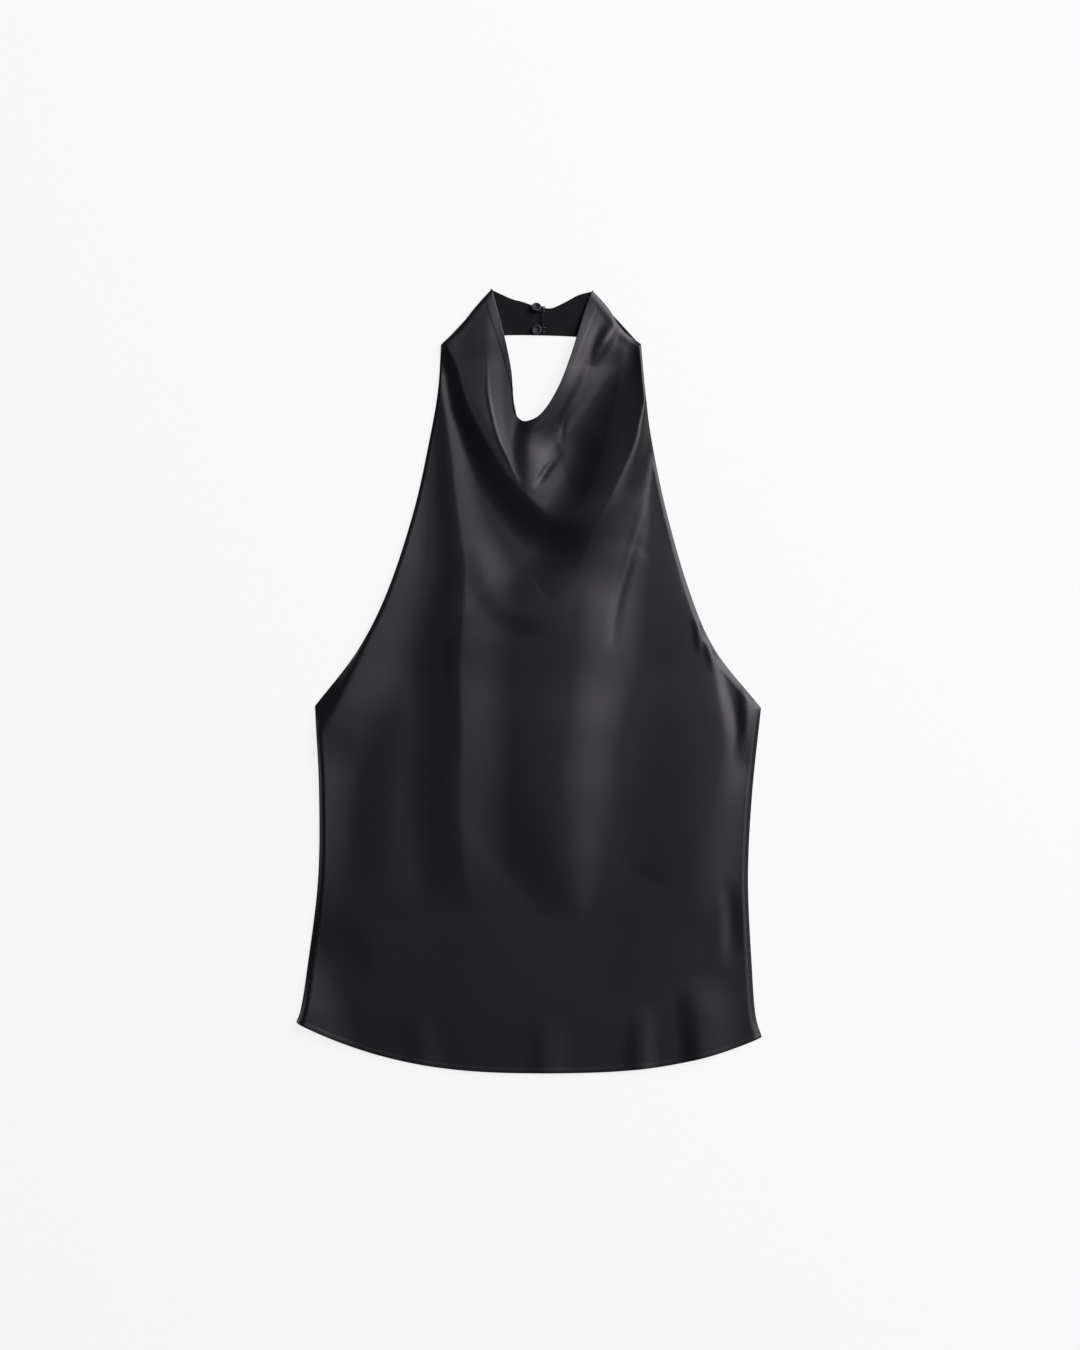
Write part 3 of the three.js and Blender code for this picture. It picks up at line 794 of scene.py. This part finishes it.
def front_points():
    """The front's outer face as a grid of points, with its side edges, neckline and hem turned in."""
    places = np.concatenate(
        [
            np.linspace(0, NECK_FOLD_ROW, ROWS_COLLAR, endpoint=False),
            np.linspace(NECK_FOLD_ROW, UNDERARM_ROW, ROWS_BIB, endpoint=False),
            np.linspace(UNDERARM_ROW, HEM_ROW, ROWS_BODY),
        ]
    )
    across = np.linspace(0, 1, COLUMNS)
    place, over = np.meshgrid(places, across, indexing="ij")
    plan = front_plan(place, over)
    radius = np.interp(places, SIDE_TURN["place"], SIDE_TURN["radius"])
    turned = np.interp(places, SIDE_TURN["place"], SIDE_TURN["width"])
    out = dict(
        left=outward(plan[:, 0], plan[:, 2]),
        right=outward(plan[:, -1], plan[:, -3]),
        neck=outward(plan[0], plan[2]),
        hem=outward(plan[-1], plan[-3]),
    )
    from_left = np.linalg.norm(plan - plan[:, :1], axis=-1)
    from_right = np.linalg.norm(plan - plan[:, -1:], axis=-1)
    from_neck = np.linalg.norm(plan - plan[:1], axis=-1)
    from_hem = np.linalg.norm(plan - plan[-1:], axis=-1)
    pulls = (
        (from_left, out["left"][:, None], radius[:, None]),
        (from_right, out["right"][:, None], radius[:, None]),
        (from_neck, out["neck"][None], NECK_TURN["radius"]),
        (from_hem, out["hem"][None], HEM_TURN["radius"]),
    )
    inset = plan.copy()
    for away, direction, size in pulls:
        pull = size * np.clip(1 - away / (PULL_REACH * size + PULL_SLACK), 0, 1) ** 2
        inset = inset - direction * pull[..., None]
    x, y = inset[..., 0], inset[..., 1]
    side = np.minimum(from_left, from_right)
    z = front_height(x, y, place, side, from_neck, from_hem, turned[:, None])
    face = np.dstack([x, y, z])

    def height_by(place_line, turn_line, side_line=None, neck_line=False, hem_line=False):
        """The height along one edge's turning. Its distance in counts for that edge alone."""

        def height_at(points, inward):
            far = np.full(len(points), np.inf)
            side_in = inward if side_line is None else side_line
            neck_in = inward if neck_line else far
            hem_in = inward if hem_line else far
            x, y = points.T
            return front_height(x, y, place_line, side_in, neck_in, hem_in, turn_line)

        return height_at

    patches = [face]
    side_height = height_by(places, turned)
    patches.append(turned_edge(face[:, 0], out["left"], radius, turned, side_height))
    patches.append(turned_edge(face[:, -1], out["right"], radius, turned, side_height))
    neck_width = np.interp(across, NECK_TURN["across"], NECK_TURN["width"])
    neck_height = height_by(np.zeros(COLUMNS), turned[0], side[0], neck_line=True)
    patches.append(turned_edge(face[0], out["neck"], NECK_TURN["radius"], neck_width, neck_height))
    hem_width = np.interp(across, HEM_TURN["across"], HEM_TURN["width"])
    hem_height = height_by(np.full(COLUMNS, float(HEM_ROW)), turned[-1], side[-1], hem_line=True)
    patches.append(turned_edge(face[-1], out["hem"], HEM_TURN["radius"], hem_width, hem_height))
    return patches


front = cloth("front", front_points(), 1, satin_face)
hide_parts("front_panel")

# The back is a low panel of the same satin from under the arms to the hem. It lies face down and flat, with
# the front sewn to it down both sides, and its top, sides and hem are turned in.
BACK_INSET = 0.8
BACK_COLUMNS = 120
BACK_ROWS = 84
BACK_TURN = dict(top=10, left=6, right=6, hem=4, radius=0.42, corner=1.2, widening=2.0)
BACK_RIPPLES = [
    dict(height=0.20, wave=74, bend=40, shift=0.4),
    dict(height=0.12, wave=31, bend=90, shift=1.9),
]
BACK_MIDDLE = 4
RIPPLE_REACH = 170
RIPPLE_FADE = 40


def back_height(x, y):
    """The height of the back's outer face, its underside here. It rests flat but for faint ripples."""
    height = np.zeros(np.shape(x))
    for ripple in BACK_RIPPLES:
        wave = np.sin(2 * np.pi * x / ripple["wave"] + y / ripple["bend"] + ripple["shift"])
        height = height + ripple["height"] * (0.5 + 0.5 * wave) ** 3
    return height * np.clip((RIPPLE_REACH - np.abs(x - BACK_MIDDLE)) / RIPPLE_FADE, 0, 1)


def back_turning(points, inward):
    """The height along the back's turnings, however far in they reach."""
    return back_height(points[:, 0], points[:, 1])


def back_points():
    """The back's outer face as a grid of points, with its top, sides and hem turned in."""
    rows = ROWS[UNDERARM_ROW:]
    v = np.linspace(0, 1, BACK_ROWS)
    u = np.linspace(0, 1, BACK_COLUMNS)
    sides = {}
    for name, inward in (("left", BACK_INSET), ("right", -BACK_INSET)):
        ys = np.array([row[name][1] for row in rows])
        xs = np.array([row[name][0] for row in rows])
        y = ys[0] + (ys[-1] - ys[0]) * v
        sides[name] = curve(-ys, xs, -y) + inward
    x = sides["left"][:, None] + (sides["right"] - sides["left"])[:, None] * u[None]
    hem = front_plan(float(HEM_ROW), u)
    hem = hem[np.argsort(hem[:, 0])]
    y_hem = np.interp(x[-1], hem[:, 0], hem[:, 1]) + BACK_INSET
    y_top = back_top(x[0])
    y = y_top[None] + (y_hem - y_top)[None] * v[:, None]
    face = np.dstack([x, y, back_height(x, y)])
    edges = dict(
        left=(face[:, 0], face[:, 2]),
        right=(face[:, -1], face[:, -3]),
        top=(face[0], face[2]),
        hem=(face[-1], face[-3]),
    )
    patches = [face]
    for name, (edge, inner) in edges.items():
        out = outward(edge[:, :2], inner[:, :2])
        ends = np.minimum(np.arange(len(edge)), np.arange(len(edge))[::-1])
        width = np.minimum(BACK_TURN[name], BACK_TURN["corner"] + ends * BACK_TURN["widening"])
        patches.append(turned_edge(edge, out, BACK_TURN["radius"], width, back_turning, up=1))
    return patches


satin_back = satin("satin_back", **SATIN_FACE)
back = cloth("back", back_points(), -1, satin_back)
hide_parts("back_panel")

# The neck strap is a doubled band of the satin, seen from its duller inside face. Its halves meet at the
# centre back, where the right half's end is pressed thin and runs under the left half's. Their top edges
# pucker finely.
STRAP_TOP = [
    (-32.6, 351.6), (-15.7, 343.9), (-5.5, 341.1), (2.3, 338.4), (13.8, 335.7), (21, 335.7), (32.1, 340.7),
    (44.1, 347.1), (56, 350.4),
]
STRAP_LAP = dict(left_end=13.2, right_end=8.4, reach=5.0, lift=0.6, pressed=0.45)
STRAP_SEAT = 0.08
STRAP_THICK = 1.05
STRAP_STEPS = 90
STRAP_ACROSS = 34
STRAP_ROUND = 9
PUCKER = dict(height=0.10, wave=3.1, reach=5.0, shift=0.6)
SWAY = dict(height=0.10, along=9.0)
RIPPLE = dict(height=0.06, along=3.7, across=6.0)

SATIN_INSIDE = dict(base=(0.0026, 0.0026, 0.0031, 1), roughness=0.60, specular=0.16)
satin_inside = satin("satin_inside", **SATIN_INSIDE)


def closed_rings(rings):
    """The point numbers of closed rings, and the faces between one ring and the next."""
    index = np.arange(rings.shape[0] * rings.shape[1]).reshape(rings.shape[:2])
    return index, grid_faces(np.column_stack([index, index[:, 0]]))


def strap_half(name, outer_top, outer_bottom, meet, on_top):
    """One half of the strap, from its outer end to where the halves meet, in rings round the band."""
    u = np.linspace(0, 1, STRAP_STEPS)
    top_x = outer_top + (meet - outer_top) * u
    bottom_x = outer_bottom + (meet - outer_bottom) * u
    top_y = line_at(STRAP_TOP, top_x)
    bottom_y = line_at(STRAP_BOTTOM, bottom_x)
    radius = STRAP_THICK / 2
    angles = np.linspace(0, np.pi, STRAP_ROUND)
    rings = []
    flat = np.linspace(0, 1, STRAP_ACROSS)
    for k in range(STRAP_STEPS):
        top = np.array([top_x[k], top_y[k]])
        bottom = np.array([bottom_x[k], bottom_y[k]])
        length = np.linalg.norm(top - bottom)
        direction = (top - bottom) / length
        across = [(radius + (length - 2 * radius) * t, radius) for t in flat]
        over_top = [(length - radius + radius * math.sin(a), radius * math.cos(a)) for a in angles[1:-1]]
        under = [(radius + (length - 2 * radius) * t, -radius) for t in flat[::-1]]
        round_bottom = [(radius - radius * math.sin(a), -radius * math.cos(a)) for a in angles[1:-1]]
        ring = np.array(across + over_top + under + round_bottom)
        spot = bottom[None] + direction[None] * ring[:, :1]
        x, y = spot.T
        pucker = PUCKER["height"] * np.exp(-(length - ring[:, 0]) / PUCKER["reach"])
        pucker = pucker * np.sin(2 * np.pi * x / PUCKER["wave"] + PUCKER["shift"] * np.sin(x))
        sway = SWAY["height"] * np.sin(x / SWAY["along"])
        sway = sway + RIPPLE["height"] * np.sin(x / RIPPLE["along"] + y / RIPPLE["across"])
        lap = 1 - smooth(np.abs(x - meet) / STRAP_LAP["reach"])
        lift = STRAP_LAP["lift"] * lap if on_top else 0
        pressed = 1 if on_top else 1 - (1 - STRAP_LAP["pressed"]) * lap
        raised = radius + ring[:, 1] + np.where(ring[:, 1] > 0, pucker + sway, 0)
        height = STRAP_SEAT + lift + raised * pressed
        rings.append(np.column_stack([spot, height]))
    rings = np.array(rings)
    index, faces = closed_rings(rings)
    # Each end of the band is closed by faces from its upper side to its lower, and one at each rounded edge.
    half = STRAP_ACROSS + STRAP_ROUND - 2
    for ring in (index[0].tolist(), index[-1].tolist()):
        for i in range(STRAP_ACROSS - 1):
            across = half + STRAP_ACROSS - 1 - i
            faces.append([ring[i], ring[i + 1], ring[across - 1], ring[across]])
        faces.append(ring[STRAP_ACROSS - 1 : half + 1])
        faces.append([*ring[half + STRAP_ACROSS - 1 :], ring[0]])
    piece = make_piece(name, rings, faces, satin_inside)
    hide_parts(name.replace("strap", "neck_strap"))


strap_half("strap_left", STRAP_TOP[0][0], STRAP_BOTTOM[0][0], STRAP_LAP["left_end"], True)
strap_half("strap_right", STRAP_TOP[-1][0], STRAP_BOTTOM[-1][0], STRAP_LAP["right_end"], False)

# Two small horn-coloured buttons stand on thread shanks on the strap's left half. Each is dished, with a
# raised rim, and its dish narrows to a slot. The upper one leans out over the strap's top edge.
BUTTON_SEAT = 1.5
BUTTONS = [dict(name="upper", place=(6.6, 334.6), lean=30), dict(name="lower", place=(6.9, 315.9), lean=0)]
BUTTON_PROFILE = [
    dict(radius=0.0, height=0.0),
    dict(radius=0.85, height=0.0),
    dict(radius=0.92, height=0.5),
    dict(radius=0.88, height=1.6),
    dict(radius=1.05, height=2.15),
    dict(radius=2.6, height=2.32),
    dict(radius=4.0, height=2.5),
    dict(radius=4.4, height=2.9),
    dict(radius=4.5, height=3.35),
    dict(radius=4.35, height=3.85),
    dict(radius=3.9, height=4.2),
    dict(radius=3.3, height=4.25),
    dict(radius=2.75, height=4.0),
    dict(radius=2.35, height=3.4),
    dict(radius=1.9, height=2.85),
    dict(radius=1.0, height=2.72),
    dict(radius=0.0, height=2.7),
]
BUTTON_STEPS = 70
BUTTON_SIDES = 72
BUTTON_WELD = 0.001
BUTTON_SLOT = dict(narrow=0.5, radius=1.2, fade=1.7, floor=2.6, step=0.1)
SHANK = 1.0
HORN_CLOUD = {"Scale": 420.0, "Detail": 3.0}
HORN_STOPS = [(0.3, (0.018, 0.017, 0.019, 1)), (0.7, (0.034, 0.033, 0.036, 1))]
HORN_SHINE = {"Roughness": 0.5, "Specular IOR Level": 0.3}

horn = bpy.data.materials.new("horn")
horn.use_nodes = True
horn_shading = Shading(horn.node_tree)
horn_place = horn_shading.add("ShaderNodeTexCoord", {}, {}, "Object")
horn_cloud = horn_shading.add("ShaderNodeTexNoise", {}, {"Vector": horn_place, **HORN_CLOUD}, "Fac")
horn_colour = horn_shading.add("ShaderNodeValToRGB", {"stops": HORN_STOPS}, {"Fac": horn_cloud})
horn_surface = horn_shading.add("ShaderNodeBsdfPrincipled", {}, {"Base Color": horn_colour, **HORN_SHINE})
horn_shading.add("ShaderNodeOutputMaterial", {}, {"Surface": horn_surface})

for fastening in BUTTONS:
    line = smooth_line([(p["radius"], p["height"]) for p in BUTTON_PROFILE], BUTTON_STEPS)
    turn = np.linspace(0, 2 * np.pi, BUTTON_SIDES, endpoint=False)
    radius = np.maximum(line[:, 0], 0)[:, None]
    up = line[:, 1][:, None] + 0 * turn
    slot = smooth((radius - BUTTON_SLOT["radius"]) / BUTTON_SLOT["fade"])
    slot = slot + smooth((BUTTON_SLOT["floor"] - up) / BUTTON_SLOT["step"])
    narrow = np.minimum(BUTTON_SLOT["narrow"] + (1 - BUTTON_SLOT["narrow"]) * slot, 1)
    lean = math.radians(fastening["lean"])
    x = radius * np.cos(turn) * narrow
    away = radius * np.sin(turn)
    y = away * math.cos(lean) + up * math.sin(lean)
    z = up * math.cos(lean) - away * math.sin(lean)
    centre = fastening["place"]
    rings = np.dstack([x + centre[0], y + centre[1], z + BUTTON_SEAT + SHANK * math.sin(lean)])
    _, faces = closed_rings(rings)
    piece = make_piece("button_" + fastening["name"] + "_horn", rings, faces, horn, BUTTON_WELD)
    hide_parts("button_" + fastening["name"])

# A narrow satin cord makes each button loop. It is sewn to the strap's right half, where its ends sink in,
# and goes round the shank.
CORD = 1.2
CORD_SIDES = 20
CORD_SINK = dict(depth=0.55, steps=4)
CORD_TAPER = dict(share=0.25, steps=2)
LOOP_REACH = 8.5
LOOP_START = 0.4
LOOP_BEND = 1.9
LOOP_SEAT = 1.8
LOOP_STEPS = dict(straight=12, bend=25)

SATIN_CORD = dict(base=(0.0052, 0.0048, 0.0064, 1), roughness=0.45)
satin_cord = satin("satin_cord", **SATIN_CORD)

for fastening in BUTTONS:
    bend = np.linspace(np.pi / 2, 3 * np.pi / 2, LOOP_STEPS["bend"])
    straight = np.linspace(LOOP_REACH, LOOP_START, LOOP_STEPS["straight"])
    path = [(s, LOOP_BEND) for s in straight]
    path += [(LOOP_BEND * math.cos(a), LOOP_BEND * math.sin(a)) for a in bend]
    path += [(s, -LOOP_BEND) for s in straight[::-1]]
    path = np.array(path) + np.array(fastening["place"])
    tangent = unit(np.gradient(path, axis=0))
    turn = np.linspace(0, 2 * np.pi, CORD_SIDES, endpoint=False)
    from_end = np.minimum(np.arange(len(path)), np.arange(len(path))[::-1])
    sunk = CORD_SINK["depth"] * np.clip(1 - from_end / CORD_SINK["steps"], 0, 1) ** 2
    thinner = CORD_TAPER["share"] * np.clip(1 - from_end / CORD_TAPER["steps"], 0, 1)
    rings = []
    for k in range(len(path)):
        sideways = np.array([-tangent[k][1], tangent[k][0]])
        radius = CORD / 2 * (1 - thinner[k])
        plan = path[k][None] + sideways[None] * (radius * np.cos(turn))[:, None]
        rings.append(np.column_stack([plan, LOOP_SEAT + CORD / 2 - sunk[k] + radius * np.sin(turn)]))
    rings = np.array(rings)
    index, faces = closed_rings(rings)
    faces += [index[0].tolist(), index[-1].tolist()]
    piece = make_piece("loop_" + fastening["name"] + "_cord", rings, faces, satin_cord)
    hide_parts("loop_" + fastening["name"])
